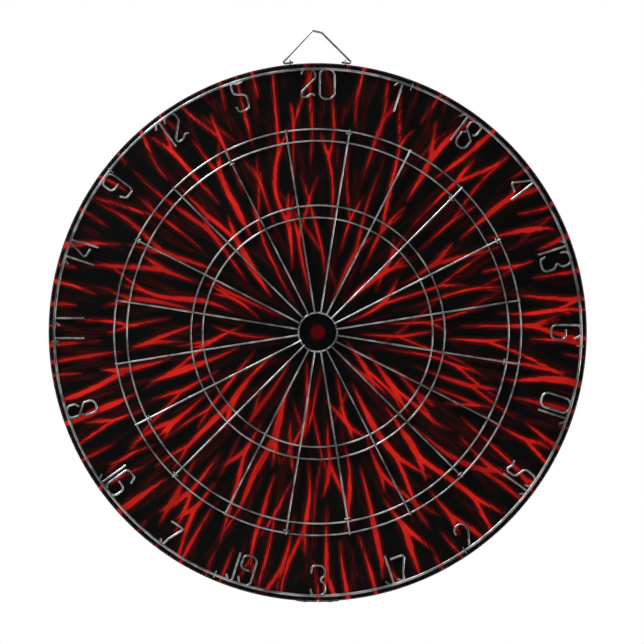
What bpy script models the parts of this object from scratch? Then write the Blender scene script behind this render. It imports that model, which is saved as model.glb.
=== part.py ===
"""Round dartboard with a raised wire spider, a number ring that turns and a wire hanger that swings.

The board hangs upright: +Z is up, the face looks along -Y and the flat back lies on the plane y = 0.
The origin is the middle of the back, on the line through the bull. All sizes are in metres.
Places on the face are given as a radius and a dial angle, clockwise from the top as a player sees it.
"""

import math

import bmesh
import bpy
from mathutils import Matrix, Quaternion, Vector

MM = 0.001
GAP = 0.3 * MM  # left between touching pieces
WELD = 0.01 * MM  # points closer than this are merged
OVERRUN = 1 * MM  # how far a cutter reaches past what it cuts
SMOOTH_ANGLE = math.radians(35)

# Board
BOARD_RADIUS = 225.5 * MM
BOARD_THICKNESS = 25.4 * MM
BAND_WALL = 0.6 * MM
SHEET_THICKNESS = 0.5 * MM
PANEL_THICKNESS = 3.2 * MM
BULL_RADIUS = 16.0 * MM
DISC_RADIUS = BOARD_RADIUS - BAND_WALL - GAP
FACE_Y = -BOARD_THICKNESS
CORE_FRONT_Y = FACE_Y + SHEET_THICKNESS + GAP
CORE_BACK_Y = -(PANEL_THICKNESS + GAP)
DISC_SIDES = 96
BULL_SIDES = 48

# Spider: the rings lie on the face and the spokes lie on the rings
SPIDER_WIRE = 0.8 * MM
RING_Y = FACE_Y - GAP - SPIDER_WIRE
SPOKE_Y = RING_Y - 2 * SPIDER_WIRE - GAP
SPIDER_RINGS = {
    "bull_ring": (16.3 * MM, 32),
    "treble_ring_inner": (96.3 * MM, 60),
    "treble_ring_outer": (106.4 * MM, 60),
    "double_ring_inner": (160.2 * MM, 72),
    "double_ring_outer": (170.4 * MM, 72),
}
SPOKE_INNER_RADIUS = 15.4 * MM
SPOKE_OUTER_RADIUS = 171.8 * MM
WIRE_SIDES = 6

# Number ring
DIAL = (20, 1, 18, 4, 13, 6, 10, 15, 2, 17, 3, 19, 7, 16, 8, 11, 14, 9, 12, 5)
SECTOR_DEG = 360 / len(DIAL)
READ_FROM_OUTSIDE = (10, 15, 2, 17, 3, 19, 7, 16)  # these stand with their base on the ring
NUMBER_RING_RADIUS = 220.8 * MM
NUMBER_RING_WIRE = 1.2 * MM
NUMBER_RING_Y = FACE_Y - GAP - NUMBER_RING_WIRE
NUMBER_RING_SEGMENTS = 80
DIGIT_WIRE = 1.0 * MM
DIGIT_HEIGHT = 25.0
DIGIT_RADIUS = NUMBER_RING_RADIUS - GAP
DIGIT_GAP = 3.5
WIDE_GAP = {11: 10.0}

# Each digit is one bent wire: corners (across, up, bend radius), in millimetres.
GLYPHS = {
    "0": ((0, 0, 5.5), (12.5, 0, 5.5), (12.5, 25, 5.5), (0, 25, 5.5)),
    "1": ((0.8, 20.6, 0), (3.6, 25, 2), (6.8, 25, 1.6), (6.8, 0, 0)),
    "1 base": ((0.8, 4.4, 0), (3.6, 0, 2), (6.8, 0, 1.6), (6.8, 25, 0)),
    "2": ((0, 20.6, 0), (1.4, 25, 3), (11.5, 25, 4), (11.5, 17, 4), (0, 5.6, 2.6),
          (0.4, 1.6, 1.6), (4.6, 1.6, 3), (8.8, 4.4, 2.2), (11.6, 3.0, 0)),
    "2 base": ((0, 14.6, 0), (0.6, 20.6, 4), (10.8, 20.6, 4.4), (10.8, 12.5, 6), (2.8, 0, 1.6),
               (12.4, 0, 0)),
    "3": ((0.4, 18.4, 0), (0.8, 25, 4), (12, 25, 4.6), (12, 16.5, 3.2), (7.6, 13.2, 1.8),
          (12, 9.6, 3), (12, 0, 4.4), (1.2, 0, 3.6), (0, 5.4, 0)),
    "4": ((11.6, 1.2, 0), (10.8, 28.2, 1.5), (0, 9.4, 1.6), (8.3, 7.2, 0)),
    "5": ((11, 24, 0), (6.4, 23, 2), (0.3, 25.6, 1.8), (0.3, 15.6, 4), (10.6, 12.2, 3.6),
          (9.8, 0, 4.4), (0.6, 0, 2.4), (-0.4, 5, 0)),
    "6": ((3.6, 12.4, 0), (12, 12.4, 3.8), (12, 0.2, 5), (0, 0, 5), (0, 25, 3.6), (9, 25, 2.4),
          (11.4, 19.4, 0)),
    "7": ((0, 20.6, 0), (12.4, 21, 1.8), (6.8, 7.5, 4), (5.2, -1.2, 1.5), (0.8, 3.4, 0)),
    "8": ((2.6, 13.6, 0), (0, 11.6, 2.4), (0, 0, 4.6), (10.6, 0, 4.6), (10.6, 9.4, 3),
          (1.2, 16.4, 3), (1.4, 25, 4), (11.6, 25, 4.2), (11.4, 16, 3), (8.6, 14.0, 0)),
}
NARROW = {"1": 6.8}
DIGIT_WIDTH = 12.0
BEND_STEP = math.radians(46)

# Hooks that hold the number ring: anchored outside the ring, reaching inwards over its front
CLIP_WIRE = 0.5 * MM
CLIP_ANGLES = (21, 93, 146, 203, 268, 308)
CLIP_BEND = 2.4 * CLIP_WIRE
CLIP_CLEARANCE = 0.4 * MM
CLIP_LEG_RADIUS = NUMBER_RING_RADIUS + NUMBER_RING_WIRE + CLIP_CLEARANCE + CLIP_WIRE
CLIP_TIP_RADIUS = NUMBER_RING_RADIUS - 3.8 * MM
CLIP_Y = NUMBER_RING_Y - NUMBER_RING_WIRE - GAP - CLIP_WIRE
CLIP_LEG_Y = FACE_Y + 8 * MM

# Staples over the spokes, just inside a double ring
STAPLE_WIRE = 0.5 * MM
STAPLE_BEND = 2.2  # bend radius of a staple's shoulders, in wire radii
STAPLE_HALF_WIDTH = 2.2 * MM
STAPLE_Y = SPOKE_Y - SPIDER_WIRE - GAP - STAPLE_WIRE
STAPLE_LEG_Y = FACE_Y + 9 * MM
STAPLE_INSET = 2.2 * MM
STAPLES = {
    "double_ring_inner": (45, 99, 171, 243, 333),
    "double_ring_outer": (9, 63, 135, 189, 225, 297),
}

# Hanger: a bent wire whose feet turn inwards, close over the rim's curve, under two staples
HANGER_WIRE = 0.9 * MM
HANGER_Y = -BOARD_THICKNESS / 2
HINGE_Z = BOARD_RADIUS + 0.5 * MM
HANGER_CORNERS = ((-20.5, 0.1, 0), (-30.4, -1.3, 1.2), (-4.4, 26.6, 1.6), (3.4, 24.8, 1.6),
                  (29.6, -1.25, 1.2), (20.0, 0.1, 0))
HANGER_STAPLE_WIRE = 0.6 * MM
HANGER_STAPLE_X = 23.2 * MM
HANGER_STAPLE_HALF_WIDTH = 2.2 * MM
HANGER_STAPLE_LEG_Z = BOARD_RADIUS - 15 * MM

# Strap that closes the band at the bottom
STRAP_WALL = 0.6 * MM
STRAP_RADIUS = BOARD_RADIUS + GAP
STRAP_HALF_ANGLE = math.radians(4.5)
STRAP_HALF_WIDTH = 9.5 * MM
STRAP_STEPS = 4
SEAM_WIDTH = 1.0 * MM
SEAM_DEPTH = 10 * MM
NAIL_ANGLE = 2.7
NAIL_SHANK_RADIUS = 0.9 * MM
NAIL_HEAD_RADIUS = 2.2 * MM
NAIL_DOME = 1.0 * MM
NAIL_LENGTH = 12 * MM
NAIL_POINT = 2 * MM
NAIL_SIDES = 8

HOLE_MARGIN = 0.35 * MM

MATERIALS = {
    "print": ((0.016, 0.016, 0.018), 0.45, 0.0),
    "wound_paper": ((0.46, 0.36, 0.25), 0.9, 0.0),
    "hardboard": ((0.24, 0.13, 0.07), 0.7, 0.0),
    "bull_paint": ((0.1, 0.004, 0.006), 0.5, 0.0),
    "band_steel": ((0.03, 0.03, 0.032), 0.4, 0.8),
    "wire_steel": ((0.62, 0.63, 0.65), 0.3, 1.0),
    "nail_steel": ((0.5, 0.5, 0.52), 0.35, 1.0),
}


# ---------------------------------------------------------------- scene helpers

def clear_scene():
    for item in list(bpy.data.objects):
        bpy.data.objects.remove(item, do_unlink=True)


def new_collection(name):
    collection = bpy.data.collections.new(name)
    bpy.context.scene.collection.children.link(collection)
    return collection


def make_material(name):
    colour, roughness, metallic = MATERIALS[name]
    material = bpy.data.materials.new(name)
    material.use_nodes = True
    shader = material.node_tree.nodes["Principled BSDF"]
    shader.inputs["Base Color"].default_value = (*colour, 1)
    shader.inputs["Roughness"].default_value = roughness
    shader.inputs["Metallic"].default_value = metallic
    material.diffuse_color = (*colour, 1)
    return material


def file_under(item, name, collection, material=None):
    """Name an object, give it a material and keep it in one collection only."""
    item.name = name
    item.data.name = name
    for old in list(item.users_collection):
        old.objects.unlink(item)
    collection.objects.link(item)
    if material:
        item.data.materials.clear()
        item.data.materials.append(material)
    return item


def as_helper(item, name):
    file_under(item, name, HELPERS)
    item.hide_render = True
    item.display_type = "WIRE"
    return item


def dial_point(radius, angle_deg, y):
    angle = math.radians(angle_deg)
    return Vector((radius * math.sin(angle), y, radius * math.cos(angle)))


def outward(angle_deg):
    return dial_point(1, angle_deg, 0)


def clockwise(angle_deg):
    return dial_point(1, angle_deg + 90, 0)


# ---------------------------------------------------------------- shape helpers

def bent_path(corners, closed=False):
    """Follow a bent wire: straight runs, with each corner rounded to its own bend radius."""
    path = []
    for i, (corner, bend) in enumerate(corners):
        if bend == 0:
            path.append(corner)
            continue
        back = (corners[i - 1][0] - corner).normalized()
        ahead = (corners[(i + 1) % len(corners)][0] - corner).normalized()
        opening = back.angle(ahead)
        turn = math.pi - opening
        reach = bend * math.tan(turn / 2)
        centre = corner + (back + ahead).normalized() * (bend / math.sin(opening / 2))
        arm = corner + back * reach - centre
        axis = arm.cross(corner + ahead * reach - centre).normalized()
        steps = max(1, round(turn / BEND_STEP))
        path += [centre + Quaternion(axis, turn * k / steps) @ arm for k in range(steps + 1)]
    return path


def wire(name, paths, radius, bevel_resolution=1, closed=()):
    """A round wire along each path; a bevel resolution of 1 makes six sides."""
    data = bpy.data.curves.new(name, "CURVE")
    data.dimensions = "3D"
    data.bevel_depth = radius
    data.bevel_resolution = bevel_resolution
    data.use_fill_caps = True
    for i, path in enumerate(paths):
        spline = data.splines.new("POLY")
        spline.points.add(len(path) - 1)
        spline.use_cyclic_u = i in closed
        for point, place in zip(spline.points, path):
            point.co = (*place, 1)
    item = bpy.data.objects.new(name, data)
    bpy.context.scene.collection.objects.link(item)
    return item


def mesh_from_curve(curve):
    """The same shape as a mesh with its end caps welded on, ready for a Boolean."""
    bpy.context.view_layer.update()
    evaluated = curve.evaluated_get(bpy.context.evaluated_depsgraph_get())
    mesh = bpy.data.meshes.new_from_object(evaluated)
    welded = bmesh.new()
    welded.from_mesh(mesh)
    bmesh.ops.remove_doubles(welded, verts=welded.verts, dist=WELD)
    welded.to_mesh(mesh)
    welded.free()
    item = bpy.data.objects.new(curve.name, mesh)
    item.matrix_world = curve.matrix_world
    bpy.context.scene.collection.objects.link(item)
    bpy.data.objects.remove(curve, do_unlink=True)
    return item


def disc(radius, front_y, back_y, sides=DISC_SIDES):
    """A flat disc standing upright, its axis along Y."""
    bpy.ops.mesh.primitive_cylinder_add(
        vertices=sides, radius=radius, depth=back_y - front_y,
        location=(0, (front_y + back_y) / 2, 0), rotation=(math.pi / 2, 0, 0))
    return bpy.context.object


def wire_hoop(radius, wire_radius, y, segments):
    bpy.ops.mesh.primitive_torus_add(
        major_segments=segments, minor_segments=WIRE_SIDES, major_radius=radius,
        minor_radius=wire_radius, location=(0, y, 0), rotation=(math.pi / 2, 0, 0))
    return bpy.context.object


def holes(name, legs):
    """One cutter with a six-sided hole round every leg, given as (mouth, tip, leg radius)."""
    mesh = bmesh.new()
    for mouth, tip, radius in legs:
        along = tip - mouth
        turn = Vector((0, 0, 1)).rotation_difference(along).to_matrix().to_4x4()
        hole_radius = radius + HOLE_MARGIN
        bmesh.ops.create_cone(
            mesh, cap_ends=True, segments=WIRE_SIDES, radius1=hole_radius, radius2=hole_radius,
            depth=along.length, matrix=Matrix.Translation((mouth + tip) / 2) @ turn)
    data = bpy.data.meshes.new(name)
    mesh.to_mesh(data)
    mesh.free()
    item = bpy.data.objects.new(name, data)
    bpy.context.scene.collection.objects.link(item)
    return as_helper(item, name)


def boolean(item, other, operation="DIFFERENCE"):
    modifier = item.modifiers.new(operation.lower(), "BOOLEAN")
    modifier.operation = operation
    modifier.solver = "EXACT"
    modifier.object = other


def smooth(item):
    item.data.shade_smooth()
    item.data.set_sharp_from_angle(angle=SMOOTH_ANGLE)


# ---------------------------------------------------------------- where the wires enter the board

def clip_legs():
    """Mouth and tip of the hole for each number-ring hook."""
    for angle in CLIP_ANGLES:
        yield (dial_point(CLIP_LEG_RADIUS, angle, FACE_Y - OVERRUN),
               dial_point(CLIP_LEG_RADIUS, angle, CLIP_LEG_Y + OVERRUN), CLIP_WIRE)


def staple_places():
    """Centre of the crown and the direction across the spoke, for each spider staple."""
    for ring_name, angles in STAPLES.items():
        radius = SPIDER_RINGS[ring_name][0] - STAPLE_INSET
        for angle in angles:
            yield dial_point(radius, angle, 0), clockwise(angle)


def staple_legs():
    for centre, across in staple_places():
        for side in (-1, 1):
            leg = centre + across * side * STAPLE_HALF_WIDTH
            yield (leg + Vector((0, FACE_Y - OVERRUN, 0)), leg + Vector((0, STAPLE_LEG_Y + OVERRUN, 0)),
                   STAPLE_WIRE)


def hanger_staple_legs():
    for x in (-HANGER_STAPLE_X, HANGER_STAPLE_X):
        for side in (-1, 1):
            y = HANGER_Y + side * HANGER_STAPLE_HALF_WIDTH
            yield (Vector((x, y, BOARD_RADIUS + OVERRUN)), Vector((x, y, HANGER_STAPLE_LEG_Z - OVERRUN)),
                   HANGER_STAPLE_WIRE)


def nail_places():
    """Name, outer surface of the strap and inward direction, for each band nail."""
    for name, angle in (("band_nail_left", 180 + NAIL_ANGLE), ("band_nail_right", 180 - NAIL_ANGLE)):
        yield name, dial_point(STRAP_RADIUS + STRAP_WALL, angle, HANGER_Y), -outward(angle)


def nail_legs():
    for _, surface, inward in nail_places():
        yield surface - inward * OVERRUN, surface + inward * (NAIL_LENGTH + OVERRUN), NAIL_SHANK_RADIUS


# ---------------------------------------------------------------- board

def make_board(parts, materials):
    face_holes = holes("face_holes", [*clip_legs(), *staple_legs()])
    rim_holes = holes("rim_holes", [*hanger_staple_legs(), *nail_legs()])
    bull_bore = as_helper(disc(BULL_RADIUS + GAP, FACE_Y - OVERRUN, OVERRUN, BULL_SIDES), "bull_bore")

    core = disc(DISC_RADIUS, CORE_FRONT_Y, CORE_BACK_Y)
    file_under(core, "board_core", parts, materials["wound_paper"])
    for cutter in (bull_bore, face_holes, rim_holes):
        boolean(core, cutter)

    sheet = disc(DISC_RADIUS, FACE_Y, FACE_Y + SHEET_THICKNESS)
    file_under(sheet, "face_sheet", parts, materials["print"])
    for cutter in (bull_bore, face_holes):
        boolean(sheet, cutter)

    plug = disc(BULL_RADIUS, FACE_Y, CORE_BACK_Y, BULL_SIDES)
    file_under(plug, "bull_plug", parts, materials["bull_paint"])

    panel = disc(DISC_RADIUS, -PANEL_THICKNESS, 0)
    file_under(panel, "back_panel", parts, materials["hardboard"])

    make_band(parts, materials, rim_holes)


def make_band(parts, materials, rim_holes):
    """The steel strip round the edge, its seam at the bottom under a nailed strap."""
    bpy.ops.mesh.primitive_cylinder_add(
        vertices=DISC_SIDES, radius=BOARD_RADIUS, depth=BOARD_THICKNESS, end_fill_type="NOTHING",
        location=(0, HANGER_Y, 0), rotation=(math.pi / 2, 0, 0))
    band = file_under(bpy.context.object, "rim_band", parts, materials["band_steel"])
    shell = band.modifiers.new("wall", "SOLIDIFY")
    shell.thickness = BAND_WALL
    shell.offset = -1
    boolean(band, rim_holes)
    bpy.ops.mesh.primitive_cube_add(size=1, location=(0, HANGER_Y, -BOARD_RADIUS))
    seam = bpy.context.object
    seam.scale = (SEAM_WIDTH, 2 * BOARD_THICKNESS, SEAM_DEPTH)
    boolean(band, as_helper(seam, "band_seam"))
    smooth(band)

    strap = make_strap()
    file_under(strap, "band_strap", parts, materials["band_steel"])
    boolean(strap, rim_holes)
    for name, surface, inward in nail_places():
        nail = turned([(0, NAIL_DOME), (NAIL_HEAD_RADIUS * 0.75, NAIL_DOME * 0.75), (NAIL_HEAD_RADIUS, 0),
                       (NAIL_SHANK_RADIUS, 0), (NAIL_SHANK_RADIUS, NAIL_POINT - NAIL_LENGTH),
                       (0, -NAIL_LENGTH)], NAIL_SIDES)
        file_under(nail, name, parts, materials["nail_steel"])
        nail.location = surface - inward * GAP
        nail.rotation_mode = "QUATERNION"
        nail.rotation_quaternion = Vector((0, 0, 1)).rotation_difference(-inward)


def make_strap():
    """A short curved plate outside the band: an arc swept along Y, then thickened outwards."""
    mesh = bmesh.new()
    start = 180 - math.degrees(STRAP_HALF_ANGLE)
    front = mesh.verts.new(dial_point(STRAP_RADIUS, start, HANGER_Y - STRAP_HALF_WIDTH))
    back = mesh.verts.new(dial_point(STRAP_RADIUS, start, HANGER_Y + STRAP_HALF_WIDTH))
    edge = mesh.edges.new((front, back))
    bmesh.ops.spin(mesh, geom=[edge], axis=(0, 1, 0), cent=(0, 0, 0), steps=STRAP_STEPS,
                   angle=2 * STRAP_HALF_ANGLE, use_duplicate=False)
    bmesh.ops.recalc_face_normals(mesh, faces=mesh.faces)
    data = bpy.data.meshes.new("strap")
    mesh.to_mesh(data)
    mesh.free()
    if data.polygons[0].normal.z > 0:
        data.flip_normals()
    strap = bpy.data.objects.new("strap", data)
    bpy.context.scene.collection.objects.link(strap)
    plate = strap.modifiers.new("wall", "SOLIDIFY")
    plate.thickness = STRAP_WALL
    plate.offset = 1
    return strap


def turned(profile, steps):
    """A solid of revolution about its own Z, from a profile that runs from its top to its tip."""
    data = bpy.data.meshes.new("turned")
    points = [(radius, 0, height) for radius, height in profile]
    data.from_pydata(points, [(i, i + 1) for i in range(len(points) - 1)], [])
    item = bpy.data.objects.new("turned", data)
    bpy.context.scene.collection.objects.link(item)
    screw = item.modifiers.new("turn", "SCREW")
    screw.steps = steps
    screw.render_steps = steps
    screw.use_merge_vertices = True
    screw.merge_threshold = WELD
    return item


# ---------------------------------------------------------------- spider

def make_spider(parts, materials):
    steel = materials["wire_steel"]
    for name, (radius, segments) in SPIDER_RINGS.items():
        hoop = wire_hoop(radius, SPIDER_WIRE, RING_Y, segments)
        smooth(file_under(hoop, name, parts, steel))
    for i, number in enumerate(DIAL):
        following = DIAL[(i + 1) % len(DIAL)]
        angle = (i + 0.5) * SECTOR_DEG
        ends = [dial_point(radius, angle, SPOKE_Y) for radius in (SPOKE_INNER_RADIUS, SPOKE_OUTER_RADIUS)]
        name = f"spoke_{number}_{following}"
        file_under(wire(name, [ends], SPIDER_WIRE), name, parts, steel)
    for i, (centre, across) in enumerate(staple_places(), 1):
        name = f"spider_staple_{i}"
        staple = u_staple(name, centre + Vector((0, STAPLE_Y, 0)), across * STAPLE_HALF_WIDTH,
                          Vector((0, STAPLE_LEG_Y - STAPLE_Y, 0)), STAPLE_WIRE)
        file_under(staple, name, parts, steel)


def u_staple(name, crown, half_width, leg, radius):
    """A U-shaped wire: both legs run from the crown's ends along leg."""
    bend = STAPLE_BEND * radius
    corners = [(crown - half_width + leg, 0), (crown - half_width, bend), (crown + half_width, bend),
               (crown + half_width + leg, 0)]
    return wire(name, [bent_path(corners)], radius)


# ---------------------------------------------------------------- number ring

def digit_glyph(digit, on_base):
    """The wire of one digit. Some are bent differently when their base is the end on the ring."""
    if digit == "9":
        return [(DIGIT_WIDTH - x, DIGIT_HEIGHT - y, bend) for x, y, bend in GLYPHS["6"]]
    if on_base and digit + " base" in GLYPHS:
        return GLYPHS[digit + " base"]
    return GLYPHS[digit]


def digit_corners(number, angle):
    """Yield one list of corners, with bend radii, for each digit of a number at a dial angle."""
    on_base = number in READ_FROM_OUTSIDE
    up = -outward(angle) if on_base else outward(angle)
    right = -clockwise(angle) if on_base else clockwise(angle)
    foot = 0 if on_base else DIGIT_HEIGHT
    text = str(number)
    widths = [NARROW.get(digit, DIGIT_WIDTH) for digit in text]
    gap = WIDE_GAP.get(number, DIGIT_GAP)
    left = -(sum(widths) + gap * (len(text) - 1)) / 2
    base = dial_point(DIGIT_RADIUS, angle, 0)
    for digit, width in zip(text, widths):
        glyph = digit_glyph(digit, on_base)
        yield [(base + (right * (left + x) + up * (y - foot)) * MM, bend * MM) for x, y, bend in glyph]
        left += width + gap


def make_number_ring(parts, materials):
    """The ring wire with every digit welded on, all in one plane, turning about the board's axis."""
    ring = wire_hoop(NUMBER_RING_RADIUS, NUMBER_RING_WIRE, NUMBER_RING_Y, NUMBER_RING_SEGMENTS)
    file_under(ring, "number_ring", parts, materials["wire_steel"])
    paths = []
    loops = []
    for i, number in enumerate(DIAL):
        for corners in digit_corners(number, i * SECTOR_DEG):
            closed = corners[0][1] > 0
            if closed:
                loops.append(len(paths))
            paths.append(bent_path(corners, closed))
    numerals = wire("numerals", paths, DIGIT_WIRE, 0, loops)
    numerals.location = (0, NUMBER_RING_Y, 0)
    boolean(ring, as_helper(mesh_from_curve(numerals), "numerals"), "UNION")

    for i, angle in enumerate(CLIP_ANGLES, 1):
        corners = [(dial_point(CLIP_LEG_RADIUS, angle, CLIP_LEG_Y), 0),
                   (dial_point(CLIP_LEG_RADIUS, angle, CLIP_Y), CLIP_BEND),
                   (dial_point(CLIP_TIP_RADIUS, angle, CLIP_Y), 0)]
        name = f"number_ring_clip_{i}"
        file_under(wire(name, [bent_path(corners)], CLIP_WIRE), name, parts, materials["wire_steel"])


# ---------------------------------------------------------------- hanger

def make_hanger(parts, materials):
    """The bail, drawn about its own hinge line, and a staple over each of its feet."""
    corners = [(Vector((x, 0, z)) * MM, bend * MM) for x, z, bend in HANGER_CORNERS]
    bail = wire("hanger_bail", [bent_path(corners)], HANGER_WIRE)
    bail.location = (0, HANGER_Y, HINGE_Z)
    file_under(bail, "hanger_bail", parts, materials["wire_steel"])
    crown_z = HINGE_Z + HANGER_WIRE + GAP + HANGER_STAPLE_WIRE
    for name, x in (("hanger_staple_left", -HANGER_STAPLE_X), ("hanger_staple_right", HANGER_STAPLE_X)):
        staple = u_staple(name, Vector((x, HANGER_Y, crown_z)), Vector((0, HANGER_STAPLE_HALF_WIDTH, 0)),
                          Vector((0, 0, HANGER_STAPLE_LEG_Z - crown_z)), HANGER_STAPLE_WIRE)
        file_under(staple, name, parts, materials["nail_steel"])


clear_scene()
PARTS = new_collection("wire_dartboard")
HELPERS = new_collection("helpers")
FINISHES = {name: make_material(name) for name in MATERIALS}
make_board(PARTS, FINISHES)
make_spider(PARTS, FINISHES)
make_number_ring(PARTS, FINISHES)
make_hanger(PARTS, FINISHES)
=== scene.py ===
"""Looks of the printed dartboard: wires, printed face, painted band and studio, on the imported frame.

The board hangs upright with its face towards -Y. Places on the face are a radius and a dial angle,
clockwise from the top as a player sees it. All sizes are in metres.
"""

import math
import random

import bmesh
import bpy
import numpy as np
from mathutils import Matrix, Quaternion, Vector


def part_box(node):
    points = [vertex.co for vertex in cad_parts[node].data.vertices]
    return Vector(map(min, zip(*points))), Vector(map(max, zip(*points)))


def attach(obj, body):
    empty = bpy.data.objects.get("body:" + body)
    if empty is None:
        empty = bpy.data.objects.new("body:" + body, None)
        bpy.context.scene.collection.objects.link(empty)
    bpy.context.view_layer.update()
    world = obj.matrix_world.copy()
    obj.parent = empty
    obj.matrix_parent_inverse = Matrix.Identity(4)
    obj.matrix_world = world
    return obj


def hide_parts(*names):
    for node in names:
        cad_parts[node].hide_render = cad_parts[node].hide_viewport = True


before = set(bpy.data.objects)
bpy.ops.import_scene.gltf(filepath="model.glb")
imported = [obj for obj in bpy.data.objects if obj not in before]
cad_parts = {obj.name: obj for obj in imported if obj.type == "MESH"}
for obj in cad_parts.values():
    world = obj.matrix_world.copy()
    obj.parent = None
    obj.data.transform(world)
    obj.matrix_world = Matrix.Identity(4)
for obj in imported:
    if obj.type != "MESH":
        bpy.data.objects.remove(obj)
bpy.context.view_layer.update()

MM = 0.001
TURN = 2 * math.pi

# ---------------------------------------------------------------- sizes read from the frame
face_low, face_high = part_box("face_sheet")
band_low, band_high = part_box("rim_band")
_, bull_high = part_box("bull_plug")
FACE_Y = face_low.y
SHEET_BACK_Y = face_high.y
BOARD_RADIUS = band_high.x
BAND_FRONT_Y = band_low.y
BAND_BACK_Y = band_high.y
BAND_MIDDLE_Y = (BAND_FRONT_Y + BAND_BACK_Y) / 2
BULL_RADIUS = bull_high.x
BULL_BACK_Y = bull_high.y
GAP = 0.3 * MM  # between a wire and what it lies over, as the CAD part has it

# Wire radii, as the CAD part has them
SPIDER_WIRE = 0.8 * MM
NUMBER_WIRE = 1.2 * MM
DIGIT_WIRE = 1.0 * MM
FIXING_WIRE = 0.5 * MM
HANGER_WIRE = 0.9 * MM
HANGER_STAPLE_WIRE = 0.6 * MM
RING_Y = FACE_Y - GAP - SPIDER_WIRE
SPOKE_Y = RING_Y - 2 * SPIDER_WIRE - GAP
RINGS = {
    "bull_ring": 16.3 * MM,
    "treble_ring_inner": 96.3 * MM,
    "treble_ring_outer": 106.4 * MM,
    "double_ring_inner": 160.2 * MM,
    "double_ring_outer": 170.4 * MM,
}
SPOKE_INNER_RADIUS = 15.4 * MM
SPOKE_OUTER_RADIUS = 171.8 * MM
SPOKE_STEPS = 24
SPOKE_BOW_MM = 0.3
BEAD_RADIUS = 1.02 * SPIDER_WIRE
BEAD_LIFT = 0.5 * SPIDER_WIRE
BEAD_STRETCH = 1.5
SPIDER_SEED = 3
DIAL = (20, 1, 18, 4, 13, 6, 10, 15, 2, 17, 3, 19, 7, 16, 8, 11, 14, 9, 12, 5)
SECTOR_DEG = 360 / len(DIAL)

# Hoops: how far they are out of round and out of flat, and how finely they are divided
BULL_RING_WOBBLE = 0.04 * MM
RING_WOBBLE = 0.22 * MM
NUMBER_RING_WOBBLE = 0.12 * MM
RING_LIFT = 0.06 * MM
RING_SEGMENT = 3.2 * MM
FEWEST_RING_SEGMENTS = 96

# Number ring and the hooks over it; digit sizes in millimetres
NUMBER_RADIUS = 220.8 * MM
NUMBER_Y = FACE_Y - GAP - NUMBER_WIRE
NUMBER_RING_SEED = 5
READ_FROM_OUTSIDE = (10, 15, 2, 17, 3, 19, 7, 16)
DIGIT_RADIUS = NUMBER_RADIUS - GAP
DIGIT_HEIGHT = 25.0
DIGIT_WIDTH = 12.0
NARROW = {"1": 6.8}  # digits with a width of their own
DIGIT_GAP = 3.5
WIDE_GAP = {11: 10.0}  # numbers with a gap of their own
# Each digit is one bent wire: corners (across, up, bend radius), in millimetres.
GLYPHS = {
    "0": ((0, 0, 5.5), (12.5, 0, 5.5), (12.5, 25, 5.5), (0, 25, 5.5)),
    "1": ((0.8, 20.6, 0), (3.6, 25, 2), (6.8, 25, 1.6), (6.8, 0, 0)),
    "1 base": ((0.8, 4.4, 0), (3.6, 0, 2), (6.8, 0, 1.6), (6.8, 25, 0)),
    "2": ((0, 20.6, 0), (1.4, 25, 3), (11.5, 25, 4), (11.5, 17, 4), (0, 5.6, 2.6),
          (0.4, 1.6, 1.6), (4.6, 1.6, 3), (8.8, 4.4, 2.2), (11.6, 3.0, 0)),
    "2 base": ((0, 14.6, 0), (0.6, 20.6, 4), (10.8, 20.6, 4.4), (10.8, 12.5, 6), (2.8, 0, 1.6),
               (12.4, 0, 0)),
    "3": ((0.4, 18.4, 0), (0.8, 25, 4), (12, 25, 4.6), (12, 16.5, 3.2), (7.6, 13.2, 1.8),
          (12, 9.6, 3), (12, 0, 4.4), (1.2, 0, 3.6), (0, 5.4, 0)),
    "4": ((11.6, 1.2, 0), (10.8, 28.2, 1.5), (0, 9.4, 1.6), (8.3, 7.2, 0)),
    "5": ((11, 24, 0), (6.4, 23, 2), (0.3, 25.6, 1.8), (0.3, 15.6, 4), (10.6, 12.2, 3.6),
          (9.8, 0, 4.4), (0.6, 0, 2.4), (-0.4, 5, 0)),
    "6": ((3.6, 12.4, 0), (12, 12.4, 3.8), (12, 0.2, 5), (0, 0, 5), (0, 25, 3.6), (9, 25, 2.4),
          (11.4, 19.4, 0)),
    "7": ((0, 20.6, 0), (12.4, 21, 1.8), (6.8, 7.5, 4), (5.2, -1.2, 1.5), (0.8, 3.4, 0)),
    "8": ((2.6, 13.6, 0), (0, 11.6, 2.4), (0, 0, 4.6), (10.6, 0, 4.6), (10.6, 9.4, 3),
          (1.2, 16.4, 3), (1.4, 25, 4), (11.6, 25, 4.2), (11.4, 16, 3), (8.6, 14.0, 0)),
}
CLIP_LEG_RADIUS = NUMBER_RADIUS + NUMBER_WIRE + 0.4 * MM + FIXING_WIRE
CLIP_TIP_RADIUS = NUMBER_RADIUS - 3.8 * MM
CLIP_Y = NUMBER_Y - NUMBER_WIRE - GAP - FIXING_WIRE
CLIP_LEG_Y = FACE_Y + 8 * MM
CLIP_BEND = 2.4 * FIXING_WIRE
CLIP_ANGLES = (21, 93, 146, 203, 268, 308)

# Spider staples, and their dial angles on each ring that they hold
STAPLE_HALF_WIDTH = 2.2 * MM
STAPLE_INSET = 2.2 * MM
STAPLE_BEND = 2.2  # times the radius of the staple's wire
STAPLE_Y = SPOKE_Y - SPIDER_WIRE - GAP - FIXING_WIRE
STAPLE_LEG_Y = FACE_Y + 9 * MM
STAPLES = {
    "double_ring_inner": (45, 99, 171, 243, 333),
    "double_ring_outer": (9, 63, 135, 189, 225, 297),
}

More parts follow.
